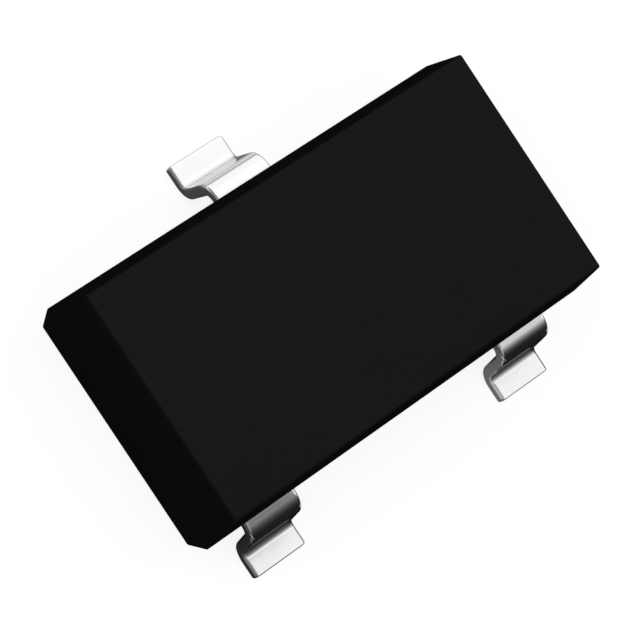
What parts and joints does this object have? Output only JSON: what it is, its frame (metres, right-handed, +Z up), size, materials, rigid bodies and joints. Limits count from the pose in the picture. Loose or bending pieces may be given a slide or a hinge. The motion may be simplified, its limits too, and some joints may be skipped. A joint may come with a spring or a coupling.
{
  "type": "tvs diode array",
  "caption": "Surface-mount voltage-surge protection diode array: a black moulded block with drafted sides, carried on small plated gull-wing leads along its long sides.",
  "frame": {"origin": "on the board, under the middle of the part, level with the undersides of the feet", "axes": "+X along the body, from lead_1's end to lead_2's end; +Y towards the side with the single lead; +Z up from the board"},
  "size_m": [0.0028, 0.0022, 0.001],
  "materials": {
    "moulding_compound": "fine-grained black epoxy, slightly glossy",
    "plated_lead": "bright tin plate",
    "chip_adhesive": "silver-filled epoxy",
    "silicon": "polished silicon with metal contacts",
    "bond_metal": "bright drawn wire"
  },
  "bodies": {
    "root": {"moulded_body": "moulding_compound", "lead_1": "plated_lead", "lead_2": "plated_lead", "lead_3": "plated_lead", "die_attach": "chip_adhesive", "tvs_die": "silicon", "bond_wire_1": "bond_metal", "bond_wire_2": "bond_metal"}
  },
  "joints": []
}
